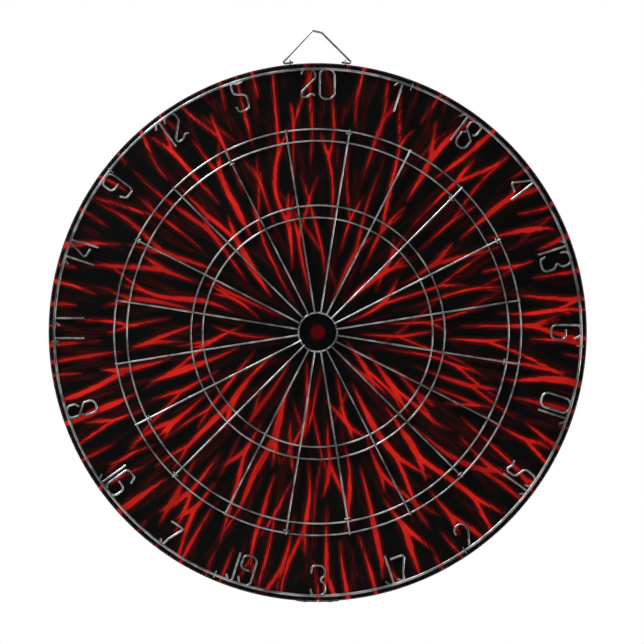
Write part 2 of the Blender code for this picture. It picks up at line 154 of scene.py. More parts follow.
# Hanger: corners (across, up, bend radius), in millimetres from the hinge
HANGER_Y = BAND_MIDDLE_Y
HINGE_Z = BOARD_RADIUS + 0.5 * MM
HANGER_CORNERS = ((-20.5, 0.1, 0), (-30.4, -1.3, 1.2), (-4.4, 26.6, 1.6), (3.4, 24.8, 1.6),
                  (29.6, -1.25, 1.2), (20.0, 0.1, 0))
HANGER_STAPLE_X = 23.2 * MM
HANGER_STAPLE_LEG_Z = BOARD_RADIUS - 15 * MM

# Band, strap and nails
BAND_WALL = 0.6 * MM
BAND_ROUNDING = 0.22 * MM
FIT = 0.03 * MM  # what is left between touching pieces that are seen
DISC_RADIUS = BOARD_RADIUS - BAND_WALL - FIT
SEAM_HALF_ANGLE = math.asin(0.5 * MM / BOARD_RADIUS)
STRAP_RADIUS = BOARD_RADIUS + FIT
STRAP_WALL = 0.6 * MM
STRAP_ROUNDING = 0.2 * MM
STRAP_HALF_ANGLE = math.radians(4.5)
STRAP_HALF_WIDTH = 9.5 * MM
NAIL_ANGLE = 2.7  # degrees to each side of the seam
NAIL_HEAD_RADIUS = 2.2 * MM
NAIL_DOME = 0.5 * MM
NAIL_SINK = 0.1 * MM  # of the head, into the strap
NAIL_SHANK_RADIUS = 0.9 * MM
NAIL_LENGTH = 12 * MM
NAIL_POINT = 2 * MM

# Printed face
PRINT_ROWS = 98
PRINT_COLUMNS = 960
ROW_CROWDING = 1.35  # above 1, the rows lie closer together near the bull
PRINT_INNER = BULL_RADIUS + FIT
PRINT_SEED = 9
EDGE_DROP = 0.15 * MM  # how far the sheet's edges are pressed down
BULL_EDGE = 0.5 * MM
NO_INK_MM = -8.0  # depth where no streak is near
LEAST_COLUMNS = 0.55  # half width of the finest streak, in columns of the grid
FULL_TONE_HALF_WIDTH = 0.8 * MM  # a narrower streak is paler
FULL_HAZE_HALF_WIDTH = 1.2 * MM
HAZE_BLUR = 1.4 * MM
CURLED_STREAKS = 5

# Growth of the streaks. A lean is a slope, clockwise over outward. A pair is a span to draw from.
GROWTH_START = 21 * MM
GROWTH_STEP = 1.5 * MM
NEW_PER_STEP = 3
STREAK_TONES = (1.0, 1.0, 1.0, 0.95, 0.85, 0.6)
STREAK_HALF_WIDTH_MM = (1.1, 2.9)
STREAK_LENGTH_MM = (110, 300)
STREAK_OPENING_MM = (25, 70)
CLOSING_SHARE = 0.7
SHORTEST_STREAK = 6 * MM
OUTER_FROM = 100 * MM
INNER_SPACING = 20 * MM
OUTER_SPACING = 21 * MM
SPACING_SPREAD = (0.8, 1.9)
MIDDLE_OF_GAP = (0.38, 0.62)
WIDE_LEAN_WITHIN = 80 * MM
INNER_LEAN = 0.35
OUTER_LEAN = 0.18
LARGEST_LEAN = 0.6
STRAIGHTENING = 0.02
PUSH = 0.05 * MM
LARGEST_PUSH = 0.05
CLOSEST_PUSH = 2 * MM
FARTHEST_LOOK = 120 * MM
NEW_BEND_CHANCE = 0.05
BEND = 0.011
WANDER = 0.006
WHISKER_WANDER = 0.015
CROWDED = 3.2 * MM
FREE_RUN = 20 * MM  # no streak ends for crowding before this
CROWDED_END_MM = (18, 44)
FORK_DISTANCE_MM = (28, 80)
FORK_LEAN = (0.14, 0.34)
FORK_RECOIL = (0.04, 0.2)
FORK_WIDTH_SHARE = (0.62, 0.95)
FORK_LENGTH_SHARE = (0.5, 1.0)
FORK_AGAIN_CHANCE = 0.5
LAST_FORK_SHARE = 0.75
WHISKER_CHANCE = 0.6
WHISKER_LEAN = (0.15, 0.3)
WHISKER_WIDTH_SHARE = 0.6
WHISKER_HALF_WIDTH = 1.1 * MM
WHISKER_LENGTH_MM = (12, 34)
CURL_START_MM = (26, 60)
CURL_LEAN = (0.7, 1.1)
CURL_HALF_WIDTH_MM = (1.0, 1.4)
CURL_LENGTH_MM = (50, 110)
CURL_OPENING = 25 * MM
CURL_TONE = 0.3
CURL_STRAIGHTENING = 0.985

# Fineness of the meshes
BEND_STEP = math.radians(6)
WIRE_BEVEL_STEPS = 5
CORNER_STEPS = 4
SHARP_ANGLE = math.radians(40)
WIRE_WELD = 0.002 * MM
LATHE_WELD = 0.001 * MM


# ---------------------------------------------------------------- places

def dial_point(radius, angle_deg, y):
    angle = math.radians(angle_deg)
    return Vector((radius * math.sin(angle), y, radius * math.cos(angle)))


def outward(angle_deg):
    return dial_point(1, angle_deg, 0)


def clockwise(angle_deg):
    return dial_point(1, angle_deg + 90, 0)


# ---------------------------------------------------------------- mesh helpers

def link(name, data):
    """Put an object with this mesh, curve, light or camera in the scene."""
    item = bpy.data.objects.new(name, data)
    bpy.context.scene.collection.objects.link(item)
    return item


def place(item, body, slot, material, *replaced):
    """Give a finished piece its material and body, and hide the CAD nodes that it stands for."""
    item.data.materials.clear()
    item.data.materials.append(material)
    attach(item, body)
    if replaced:
        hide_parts(*replaced)


def bent_path(corners, closed=False):
    """Follow a bent wire: straight runs, with each corner rounded to its own bend radius."""
    path = []
    for i, (corner, bend) in enumerate(corners):
        if bend == 0:
            path.append(corner)
            continue
        back = (corners[i - 1][0] - corner).normalized()
        ahead = (corners[(i + 1) % len(corners)][0] - corner).normalized()
        opening = back.angle(ahead)
        turn = math.pi - opening
        reach = bend * math.tan(turn / 2)
        centre = corner + (back + ahead).normalized() * (bend / math.sin(opening / 2))
        arm = corner + back * reach - centre
        axis = arm.cross(corner + ahead * reach - centre).normalized()
        steps = max(2, round(turn / BEND_STEP))
        path += [centre + Quaternion(axis, turn * k / steps) @ arm for k in range(steps + 1)]
    return path


def wire_mesh(name, paths, radius, closed=(), beads=()):
    """Round wires along the paths, closed where listed, with a weld bead at each (place, direction)."""
    data = bpy.data.curves.new(name, "CURVE")
    data.dimensions = "3D"
    data.bevel_depth = radius
    data.bevel_resolution = WIRE_BEVEL_STEPS
    data.use_fill_caps = True
    for i, path in enumerate(paths):
        spline = data.splines.new("POLY")
        spline.points.add(len(path) - 1)
        spline.use_cyclic_u = i in closed
        for point, where in zip(spline.points, path):
            point.co = (*where, 1)
    curve = link(name + "_curve", data)
    bpy.context.view_layer.update()
    mesh = bpy.data.meshes.new_from_object(curve.evaluated_get(bpy.context.evaluated_depsgraph_get()))
    bpy.data.objects.remove(curve, do_unlink=True)
    work = bmesh.new()
    work.from_mesh(mesh)
    bmesh.ops.remove_doubles(work, verts=work.verts, dist=WIRE_WELD)
    for where, along in beads:
        add_bead(work, where, along)
    work.to_mesh(mesh)
    work.free()
    mesh.name = name
    finish_smooth(mesh)
    return mesh


def add_bead(work, where, along):
    """A small weld bead, longer along its wire."""
    turn = Vector((0, 0, 1)).rotation_difference(along).to_matrix().to_4x4()
    made = bmesh.ops.create_uvsphere(work, u_segments=12, v_segments=8, radius=BEAD_RADIUS)["verts"]
    for vert in made:
        vert.co.z *= BEAD_STRETCH
    bmesh.ops.transform(work, verts=made, matrix=turn)
    bmesh.ops.translate(work, verts=made, vec=where)


def finish_smooth(mesh):
    mesh.shade_smooth()
    mesh.set_sharp_from_angle(angle=SHARP_ANGLE)


def lathe(name, profile, steps, start=0.0, sweep=TURN, close_profile=False):
    """Turn a profile of (radius, y) points about the Y axis; a part sweep gets flat end caps."""
    work = bmesh.new()
    full = sweep >= TURN - 1e-6
    count = steps if full else steps + 1
    columns = []
    for k in range(count):
        angle = start + sweep * k / steps
        columns.append([work.verts.new((radius * math.sin(angle), y, radius * math.cos(angle)))
                        for radius, y in profile])
    spans = len(profile) if close_profile else len(profile) - 1
    for k in range(steps):
        here, there = columns[k], columns[(k + 1) % count]
        for i in range(spans):
            j = (i + 1) % len(profile)
            work.faces.new((here[i], here[j], there[j], there[i]))
    if not full:
        work.faces.new(columns[0])
        work.faces.new(columns[-1][::-1])
    bmesh.ops.remove_doubles(work, verts=work.verts, dist=LATHE_WELD)
    bmesh.ops.recalc_face_normals(work, faces=work.faces)
    mesh = bpy.data.meshes.new(name)
    work.to_mesh(mesh)
    work.free()
    finish_smooth(mesh)
    return mesh


def rounded_section(inner, outer, front, back, radius):
    """A closed rectangle in (radius, y) with rounded corners, for a lathe."""
    corners = ((inner + radius, front + radius, 180), (outer - radius, front + radius, 270),
               (outer - radius, back - radius, 0), (inner + radius, back - radius, 90))
    section = []
    for centre_r, centre_y, start in corners:
        for k in range(CORNER_STEPS + 1):
            angle = math.radians(start + 90 * k / CORNER_STEPS)
            section.append((centre_r + radius * math.cos(angle), centre_y + radius * math.sin(angle)))
    return section


# ---------------------------------------------------------------- node helpers

class Nodes:
    """Short calls for building one material's node tree."""

    def __init__(self, name):
        self.material = bpy.data.materials.new(name)
        self.material.use_nodes = True
        self.tree = self.material.node_tree
        self.shader = self.tree.nodes["Principled BSDF"]

    def add(self, kind, **settings):
        node = self.tree.nodes.new(kind)
        for key, value in settings.items():
            setattr(node, key, value)
        return node

    def wire(self, source, target):
        self.tree.links.new(source, target)

    def feed(self, socket, value):
        if isinstance(value, bpy.types.NodeSocket):
            self.wire(value, socket)
        else:
            socket.default_value = value

    def math(self, operation, a, b=0.0, c=0.0):
        node = self.add("ShaderNodeMath", operation=operation)
        for socket, value in zip(node.inputs, (a, b, c)):
            self.feed(socket, value)
        return node.outputs[0]

    def vector(self, operation, a, b=(0, 0, 0), scale=1.0):
        node = self.add("ShaderNodeVectorMath", operation=operation)
        self.feed(node.inputs[0], a)
        if operation == "SCALE":
            self.feed(node.inputs["Scale"], scale)
        else:
            self.feed(node.inputs[1], b)
        return node.outputs["Value" if operation in ("LENGTH", "DOT_PRODUCT") else "Vector"]

    def coordinates(self):
        return self.add("ShaderNodeTexCoord").outputs["Object"]

    def noise(self, vector, scale, detail=3.0, roughness=0.5):
        node = self.add("ShaderNodeTexNoise")
        self.feed(node.inputs["Vector"], vector)
        node.inputs["Scale"].default_value = scale
        node.inputs["Detail"].default_value = detail
        node.inputs["Roughness"].default_value = roughness
        return node.outputs["Fac"]

    def smoothstep(self, value, low, high, to_low=0.0, to_high=1.0):
        node = self.add("ShaderNodeMapRange", interpolation_type="SMOOTHSTEP")
        for socket, setting in zip(node.inputs, (value, low, high, to_low, to_high)):
            self.feed(socket, setting)
        return node.outputs[0]

    def blend(self, factor, a, b):
        node = self.add("ShaderNodeMix", data_type="RGBA")
        self.feed(node.inputs[0], factor)
        for socket, value in zip((node.inputs[6], node.inputs[7]), (a, b)):
            self.feed(socket, (*value, 1) if isinstance(value, tuple) else value)
        return node.outputs[2]

    def attribute(self, name):
        return self.add("ShaderNodeAttribute", attribute_name=name).outputs["Fac"]

    def radius(self):
        """Distance from the board's axis, and the direction from it, at each point."""
        flat = self.vector("MULTIPLY", self.coordinates(), (1, 0, 1))
        return self.vector("LENGTH", flat), self.vector("NORMALIZE", flat)

    def bump(self, height, distance, strength):
        node = self.add("ShaderNodeBump")
        node.inputs["Strength"].default_value = strength
        node.inputs["Distance"].default_value = distance
        self.wire(height, node.inputs["Height"])
        self.wire(node.outputs["Normal"], self.shader.inputs["Normal"])

    def surface(self, colour, roughness, metallic=0.0, **fixed):
        """Set the shader's inputs and return the finished material."""
        self.feed(self.shader.inputs["Base Color"], (*colour, 1) if isinstance(colour, tuple) else colour)
        self.feed(self.shader.inputs["Roughness"], roughness)
        self.feed(self.shader.inputs["Metallic"], metallic)
        for name, value in fixed.items():
            self.shader.inputs[name.replace("_", " ")].default_value = value
        return self.material


# ---------------------------------------------------------------- materials

PRINT_BLACK = (0.0018, 0.0016, 0.0015)
PRINT_GLOW = (0.11, 0.0030, 0.0040)
PRINT_DEEP_RED = (0.48, 0.010, 0.006)
PRINT_RED = (0.66, 0.016, 0.009)
PRINT_SPECULAR = 0.07
FIBRES_ROUND = 190.0  # how finely the fraying changes round the board
PATCHES_ROUND = 26.0
FIBRE_LENGTH = 20 * MM
MEAN_FIBRE = 0.53
FRAY_MM = 3.6
BULL_BLACK = (0.0008, 0.0012, 0.0014)
BULL_RED = (0.078, 0.0004, 0.0007)
BULL_DOT_EDGE = (3.8 * MM, 7.6 * MM)
BULL_DOT_WAVER = 1.2 * MM
SPIDER_STEEL = (0.45, 0.445, 0.44)
SPIDER_TARNISH = (0.12, 0.12, 0.12)
FIXING_STEEL = (0.46, 0.45, 0.45)
FIXING_TARNISH = (0.13, 0.13, 0.13)
PAINT_DARK = (0.006, 0.006, 0.007)
PAINT_LIGHT = (0.011, 0.011, 0.012)
BARE_STEEL = (0.45, 0.45, 0.46)
EDGE_RUB = 0.18
FIBREBOARD_DARK = (0.11, 0.052, 0.024)
FIBREBOARD_LIGHT = (0.215, 0.112, 0.056)
FIBREBOARD_PALE = (0.34, 0.21, 0.12)
PAPER_DARK = (0.30, 0.21, 0.13)
PAPER_LIGHT = (0.50, 0.38, 0.26)
PAPER_TURN = 0.8 * MM
FLOOR_GREY = (0.8, 0.8, 0.8)


def print_material():
    """Satin black print with branching red streaks, frayed along their length."""
    n = Nodes("printed_paper")
    radius, direction = n.radius()
    reach = n.add("ShaderNodeCombineXYZ")
    n.wire(n.math("DIVIDE", radius, FIBRE_LENGTH), reach.inputs["Y"])
    round_finely = n.vector("SCALE", direction, scale=FIBRES_ROUND)
    round_broadly = n.vector("SCALE", direction, scale=PATCHES_ROUND)
    fibres = n.noise(n.vector("ADD", round_finely, reach.outputs[0]), scale=1.0, detail=3.0, roughness=0.6)
    broad = n.noise(n.vector("ADD", round_broadly, reach.outputs[0]), scale=0.7, detail=2.0)
    tone = n.attribute("tone")
    frayed = n.math("MULTIPLY_ADD", n.math("SUBTRACT", fibres, MEAN_FIBRE), FRAY_MM, n.attribute("ink_mm"))
    core = n.math("MULTIPLY", n.smoothstep(frayed, low=-0.3, high=0.45), tone)
    glow = n.math("MULTIPLY", n.smoothstep(frayed, low=-3.0, high=0.3, to_high=0.6),
                  n.smoothstep(tone, low=0.0, high=0.5))
    haze = n.math("MULTIPLY", n.attribute("haze"),
                  n.smoothstep(fibres, low=0.42, high=0.72, to_low=0.03, to_high=0.6))
    dark = n.blend(n.math("MAXIMUM", glow, haze), PRINT_BLACK, PRINT_GLOW)
    red = n.blend(n.smoothstep(broad, low=0.3, high=0.7), PRINT_DEEP_RED, PRINT_RED)
    add_paper_grain(n)
    sheen = n.noise(n.coordinates(), scale=60.0)
    roughness = n.smoothstep(sheen, low=0.3, high=0.7, to_low=0.34, to_high=0.42)
    return n.surface(n.blend(core, dark, red), roughness, Specular_IOR_Level=PRINT_SPECULAR)


def bull_material():
    """The same print, with a soft-edged red dot in the middle."""
    n = Nodes("bull_print")
    radius, _ = n.radius()
    waver = n.math("SUBTRACT", n.noise(n.coordinates(), scale=500.0), 0.5)
    edge = n.math("MULTIPLY_ADD", waver, BULL_DOT_WAVER, radius)
    dot = n.smoothstep(edge, *BULL_DOT_EDGE, to_low=1.0, to_high=0.0)
    add_paper_grain(n)
    return n.surface(n.blend(dot, BULL_BLACK, BULL_RED), 0.38, Specular_IOR_Level=PRINT_SPECULAR)


def add_paper_grain(n):
    n.bump(n.noise(n.coordinates(), scale=900.0, detail=2.0), distance=0.02 * MM, strength=0.5)


def steel_material(name, light, dark, shine, rough):
    """Drawn steel wire with a fine grain, duller and slightly tarnished in places."""
    n = Nodes(name)
    where = n.coordinates()
    patches = n.noise(where, scale=55.0, detail=4.0, roughness=0.6)
    colour = n.blend(n.smoothstep(patches, low=0.36, high=0.66), dark, light)
    roughness = n.smoothstep(n.noise(where, scale=130.0), low=0.3, high=0.72, to_low=shine, to_high=rough)
    n.bump(n.noise(where, scale=1500.0, detail=2.0), distance=0.03 * MM, strength=0.6)
    return n.surface(colour, roughness, 1.0)


def band_material():
    """Black stoved paint over steel, with an orange-peel skin and bare metal rubbed through at the edges."""
    n = Nodes("black_band_paint")
    where = n.coordinates()
    split = n.add("ShaderNodeSeparateXYZ")
    n.wire(where, split.inputs[0])
    half_width = BAND_BACK_Y - BAND_MIDDLE_Y
    from_middle = n.math("ABSOLUTE", n.math("SUBTRACT", split.outputs["Y"], BAND_MIDDLE_Y))
    near_edge = n.smoothstep(from_middle, low=half_width - 0.7 * MM, high=half_width)
    rub = n.noise(where, scale=170.0, detail=5.0, roughness=0.65)
    bare = n.smoothstep(n.math("MULTIPLY_ADD", near_edge, EDGE_RUB, rub), low=0.86, high=0.9)
    paint = n.blend(n.noise(where, scale=30.0), PAINT_DARK, PAINT_LIGHT)
    n.bump(n.noise(where, scale=420.0, detail=2.0), distance=0.05 * MM, strength=0.5)
    roughness = n.smoothstep(rub, low=0.3, high=0.75, to_low=0.30, to_high=0.44)
    return n.surface(n.blend(bare, paint, BARE_STEEL), roughness, bare)


def hardboard_material():
    """Brown pressed fibreboard with the screen pattern of its rough side."""
    n = Nodes("hardboard_back")
    where = n.coordinates()
    mottle = n.noise(where, scale=90.0, detail=6.0, roughness=0.7)
    fibres = n.noise(where, scale=900.0, detail=3.0, roughness=0.7)
    colour = n.blend(mottle, FIBREBOARD_DARK, FIBREBOARD_LIGHT)
    colour = n.blend(n.smoothstep(fibres, low=0.55, high=0.8, to_high=0.5), colour, FIBREBOARD_PALE)
    weave = []
    for axis in ("X", "Z"):
        wave = n.add("ShaderNodeTexWave", wave_type="BANDS", bands_direction=axis)
        n.wire(where, wave.inputs["Vector"])
        for setting, value in (("Scale", 190.0), ("Distortion", 0.6), ("Detail", 1.0)):
            wave.inputs[setting].default_value = value
        weave.append(wave.outputs["Fac"])
    height = n.math("MULTIPLY_ADD", fibres, 0.5, n.math("MULTIPLY", *weave))
    n.bump(height, distance=0.22 * MM, strength=0.8)
    roughness = n.smoothstep(mottle, low=0.3, high=0.7, to_low=0.62, to_high=0.8)
    return n.surface(colour, roughness, Specular_IOR_Level=0.3)


def paper_material():
    """Wound paper seen edge-on: fine rings round the axis."""
    n = Nodes("wound_paper")
    radius, _ = n.radius()
    rings = n.math("FRACT", n.math("DIVIDE", radius, PAPER_TURN))
    grain = n.noise(n.coordinates(), scale=400.0, detail=4.0, roughness=0.6)
    shade = n.math("MULTIPLY_ADD", rings, 0.4, n.math("MULTIPLY", grain, 0.6))
    n.bump(shade, distance=0.05 * MM, strength=0.6)
    return n.surface(n.blend(shade, PAPER_DARK, PAPER_LIGHT), 0.85)


# ---------------------------------------------------------------- the print's streaks

class Streak:
    """One streak of the print, followed outward from the bull.

    It opens to its widest half width over its opening length, and closes to a tip at its length.
    """

    def __init__(self, radius, angle, lean, widest, length, opening_length, tone):
        self.radius, self.angle, self.lean = radius, angle, lean
        self.widest, self.length, self.opening_length = widest, length, opening_length
        self.closing_length = CLOSING_SHARE * length
        self.tone = tone
        self.run = 0.0
        self.bend = 0.0
        self.fork_at = None
        self.points = [(radius, angle, self.half_width())]

    def closing(self):
        """One along most of the streak, and falling to nothing at its tip."""
        return max(min((self.length - self.run) / self.closing_length, 1), 0)

    def half_width(self):
        opening = min(self.run / self.opening_length, 1) if self.opening_length else 1
        return self.widest * opening * self.closing()

    def end_within(self, distance):
        """Taper to a tip within this distance, without a step in the width."""
        if self.length - self.run > distance and self.closing() > 0:
            self.closing_length = distance / self.closing()
            self.length = self.run + distance

    def advance(self):
        self.angle += self.lean * GROWTH_STEP / self.radius
        self.radius += GROWTH_STEP
        self.run += GROWTH_STEP * math.hypot(1, self.lean)
        self.points.append((self.radius, self.angle, self.half_width()))


def half_turn(angle):
    """The same angle, or array of angles, between minus and plus half a turn."""
    return (angle + math.pi) % TURN - math.pi


def draw_mm(rng, span):
    """A random size from a span that is given in millimetres."""
    return rng.uniform(*span) * MM


def new_streak(rng, radius, angle):
    widest = draw_mm(rng, STREAK_HALF_WIDTH_MM)
    length = draw_mm(rng, STREAK_LENGTH_MM)
    lean = rng.gauss(0, INNER_LEAN if radius < WIDE_LEAN_WITHIN else OUTER_LEAN)
    opening_length = draw_mm(rng, STREAK_OPENING_MM)
    streak = Streak(radius, angle, lean, widest, length, opening_length, rng.choice(STREAK_TONES))
    streak.fork_at = draw_mm(rng, FORK_DISTANCE_MM)
    return streak


def widest_gap(live, radius, rng):
    """A dial angle near the middle of the widest empty stretch, and that stretch's width."""
    if not live:
        return rng.random() * TURN, TURN * radius
    angles = sorted(s.angle % TURN for s in live)
    spans = [(b - a, a) for a, b in zip(angles, angles[1:] + [angles[0] + TURN])]
    span, start = max(spans)
    return start + span * rng.uniform(*MIDDLE_OF_GAP), span * radius


def room_beside(streak, live):
    """Free width on the anticlockwise and the clockwise side of a streak."""
    before = after = FARTHEST_LOOK
    for other in live:
        if other is streak:
            continue
        turn = half_turn(other.angle - streak.angle) * streak.radius
        if turn < 0:
            before = min(before, -turn)
        else:
            after = min(after, turn)
    return before, after


def steer(rng, streak, before, after):
    """Keep off the neighbours, wander a little, and straighten slowly."""
    push = PUSH * (1 / max(before, CLOSEST_PUSH) - 1 / max(after, CLOSEST_PUSH))
    push = max(-LARGEST_PUSH, min(LARGEST_PUSH, push))
    if rng.random() < NEW_BEND_CHANCE:
        streak.bend = rng.gauss(0, BEND)
    streak.lean += push + streak.bend + rng.gauss(0, WANDER) - STRAIGHTENING * streak.lean
    streak.lean = max(-LARGEST_LEAN, min(LARGEST_LEAN, streak.lean))


def fork(rng, streak, side):
    """Split a streak in two: returns the new arm and, now and then, a thin whisker."""
    width = streak.half_width()
    left = streak.length - streak.run
    arm = Streak(streak.radius, streak.angle, streak.lean + side * rng.uniform(*FORK_LEAN),
                 widest=width * rng.uniform(*FORK_WIDTH_SHARE),
                 length=left * rng.uniform(*FORK_LENGTH_SHARE), opening_length=0, tone=streak.tone)
    streak.lean -= side * rng.uniform(*FORK_RECOIL)
    arm.fork_at = draw_mm(rng, FORK_DISTANCE_MM) if rng.random() < FORK_AGAIN_CHANCE else None
    streak.fork_at = streak.run + draw_mm(rng, FORK_DISTANCE_MM)
    whisker = None
    if rng.random() < WHISKER_CHANCE:
        whisker = Streak(streak.radius, streak.angle, streak.lean - side * rng.uniform(*WHISKER_LEAN),
                         widest=min(WHISKER_WIDTH_SHARE * width, WHISKER_HALF_WIDTH),
                         length=draw_mm(rng, WHISKER_LENGTH_MM), opening_length=0, tone=streak.tone)
    return arm, whisker


def grow_streaks(rng):
    """Grow the streaks outward ring by ring, filling gaps, forking, and ending where they crowd."""
    live, thin, done = [], [], []
    radius = GROWTH_START
    while radius < DISC_RADIUS:
        spacing = OUTER_SPACING if radius > OUTER_FROM else INNER_SPACING
        for _ in range(NEW_PER_STEP):
            angle, room = widest_gap(live, radius, rng)
            if room > spacing * rng.uniform(*SPACING_SPREAD):
                live.append(new_streak(rng, radius, angle))
        for streak in list(live):
            before, after = room_beside(streak, live)
            steer(rng, streak, before, after)
            last_fork = LAST_FORK_SHARE * streak.length
            if streak.fork_at is not None and streak.fork_at < streak.run < last_fork:
                arm, whisker = fork(rng, streak, 1 if after > before else -1)
                live.append(arm)
                if whisker:
                    thin.append(whisker)
            if min(before, after) < CROWDED and streak.run > FREE_RUN:
                streak.end_within(draw_mm(rng, CROWDED_END_MM))
            streak.advance()
        for whisker in thin:
            whisker.lean += rng.gauss(0, WHISKER_WANDER)
            whisker.advance()
        done += [s for s in live + thin if s.run >= s.length]
        live = [s for s in live if s.run < s.length]
        thin = [s for s in thin if s.run < s.length]
        radius += GROWTH_STEP
    return [s for s in done + live + thin if s.run > SHORTEST_STREAK]


def curled_streaks(rng, count):
    """A few long thin streaks that sweep round the bull."""
    for _ in range(count):
        lean = rng.choice((-1, 1)) * rng.uniform(*CURL_LEAN)
        streak = Streak(draw_mm(rng, CURL_START_MM), rng.random() * TURN, lean,
                        widest=draw_mm(rng, CURL_HALF_WIDTH_MM), length=draw_mm(rng, CURL_LENGTH_MM),
                        opening_length=CURL_OPENING, tone=CURL_TONE)
        while streak.run < streak.length:
            streak.lean *= CURL_STRAIGHTENING
            streak.advance()
        yield streak


class PrintField:
    """How deep each point of the face lies inside the nearest streak, on a polar grid."""

    def __init__(self):
        share = np.linspace(0, 1, PRINT_ROWS + 1) ** ROW_CROWDING
        self.radius = PRINT_INNER + (DISC_RADIUS - PRINT_INNER) * share
        self.angle = np.arange(PRINT_COLUMNS) * (TURN / PRINT_COLUMNS)
        shape = (PRINT_ROWS + 1, PRINT_COLUMNS)
        self.ink = np.full(shape, NO_INK_MM * MM)
        self.tone = np.zeros(shape)
        self.haze = np.zeros(shape)

    def depth(self, streak):
        """The grid rows that a streak crosses, its depth there, and its half width on each row.

        A streak finer than the grid is drawn just wide enough to be whole, and its tone makes up for that.
        """
        radii, angles, widths = np.array(streak.points).T
        rows = np.nonzero((self.radius >= radii[0]) & (self.radius <= radii[-1]))[0]
        at = self.radius[rows]
        angle = np.interp(at, radii, angles)
        width = np.interp(at, radii, widths)
        lean = np.interp(at, radii, np.gradient(angles, radii)) * at
        across = np.abs(half_turn(self.angle[None, :] - angle[:, None]))
        drawn = np.maximum(width, LEAST_COLUMNS * at * TURN / PRINT_COLUMNS)
        return rows, drawn[:, None] - across * (at / np.hypot(1, lean))[:, None], width

    def add(self, streak):
        rows, depth, width = self.depth(streak)
        tone = streak.tone * np.clip(width / FULL_TONE_HALF_WIDTH, 0, 1)[:, None]
        self.tone[rows] = np.where(depth > self.ink[rows], tone, self.tone[rows])
        self.ink[rows] = np.maximum(self.ink[rows], depth)

    def add_haze(self, streak):
        rows, depth, width = self.depth(streak)
        glow = streak.tone * np.exp(-(np.minimum(depth, 0) / HAZE_BLUR) ** 2)
        glow *= np.clip(width / FULL_HAZE_HALF_WIDTH, 0, 1)[:, None]
        self.haze[rows] = np.maximum(self.haze[rows], glow)


def print_field():
    """The bright streaks, and a second growth of them that shows only as a dark-red haze."""
    rng = random.Random(PRINT_SEED)
    field = PrintField()
    for streak in grow_streaks(rng):
        field.add(streak)
    for streak in grow_streaks(rng):
        field.add_haze(streak)
    for streak in curled_streaks(rng, CURLED_STREAKS):
        field.add(streak)
    return field


# ---------------------------------------------------------------- board

def make_printed_face(material):
    """The printed sheet: a fine polar grid that carries the print, closed round its edges."""
    field = print_field()
    angles = field.angle
    rings = [(r, FACE_Y) for r in field.radius]
    for edge in (0, -1):
        rings[edge] = (rings[edge][0], FACE_Y + EDGE_DROP)
    back_rings = [(DISC_RADIUS, SHEET_BACK_Y), (PRINT_INNER, SHEET_BACK_Y)]
    rings += back_rings
    verts = np.concatenate([
        np.stack([r * np.sin(angles), np.full_like(angles, y), r * np.cos(angles)], axis=1)
        for r, y in rings])
    faces = []
    for row in range(len(rings)):
        here = row * PRINT_COLUMNS
        there = (row + 1) % len(rings) * PRINT_COLUMNS
        for k in range(PRINT_COLUMNS):
            after = (k + 1) % PRINT_COLUMNS
            faces.append((here + k, here + after, there + after, there + k))
    mesh = bpy.data.meshes.new("printed_face")
    mesh.from_pydata(verts.tolist(), [], faces)
    mesh.update()
    if mesh.polygons[PRINT_COLUMNS].normal.y > 0:
        mesh.flip_normals()
    for name, values, at_back in (("ink_mm", field.ink / MM, NO_INK_MM), ("tone", field.tone, 0),
                                  ("haze", field.haze, 0)):
        back = np.full((len(back_rings), PRINT_COLUMNS), at_back)
        attribute = mesh.attributes.new(name, "FLOAT", "POINT")
        attribute.data.foreach_set("value", np.concatenate([values, back]).ravel().astype(np.float32))
    finish_smooth(mesh)
    place(link("printed_face", mesh), "board", "printed_face", material, "face_sheet")


def make_bull(material):
    """The plug in the middle, flush with the face and rounded round its edge."""
    steps = 5
    profile = [(r * MM, FACE_Y) for r in (0, 3, 6, 9, 12)]
    for k in range(steps + 1):
        angle = math.radians(90 * k / steps)
        profile.append((BULL_RADIUS - BULL_EDGE + BULL_EDGE * math.sin(angle),
                        FACE_Y + BULL_EDGE - BULL_EDGE * math.cos(angle)))
    profile += [(BULL_RADIUS, BULL_BACK_Y), (0, BULL_BACK_Y)]
    mesh = lathe("bull", profile, steps=96)
    place(link("bull", mesh), "board", "bull", material, "bull_plug")


def make_band(material):
    """The band round the rim, open by a fine seam at the bottom."""
    section = rounded_section(BOARD_RADIUS - BAND_WALL, BOARD_RADIUS, BAND_FRONT_Y, BAND_BACK_Y,
                              BAND_ROUNDING)
    mesh = lathe("steel_band", section, steps=360, start=math.pi + SEAM_HALF_ANGLE,
                 sweep=TURN - 2 * SEAM_HALF_ANGLE, close_profile=True)
    place(link("steel_band", mesh), "board", "band_paint", material, "rim_band")


def make_strap(material):
    """The short strap that bridges the band's seam."""
    section = rounded_section(STRAP_RADIUS, STRAP_RADIUS + STRAP_WALL, BAND_MIDDLE_Y - STRAP_HALF_WIDTH,
                              BAND_MIDDLE_Y + STRAP_HALF_WIDTH, STRAP_ROUNDING)
    mesh = lathe("seam_strap", section, steps=24, start=math.pi - STRAP_HALF_ANGLE,
                 sweep=2 * STRAP_HALF_ANGLE, close_profile=True)
    place(link("seam_strap", mesh), "board", "band_paint", material, "band_strap")


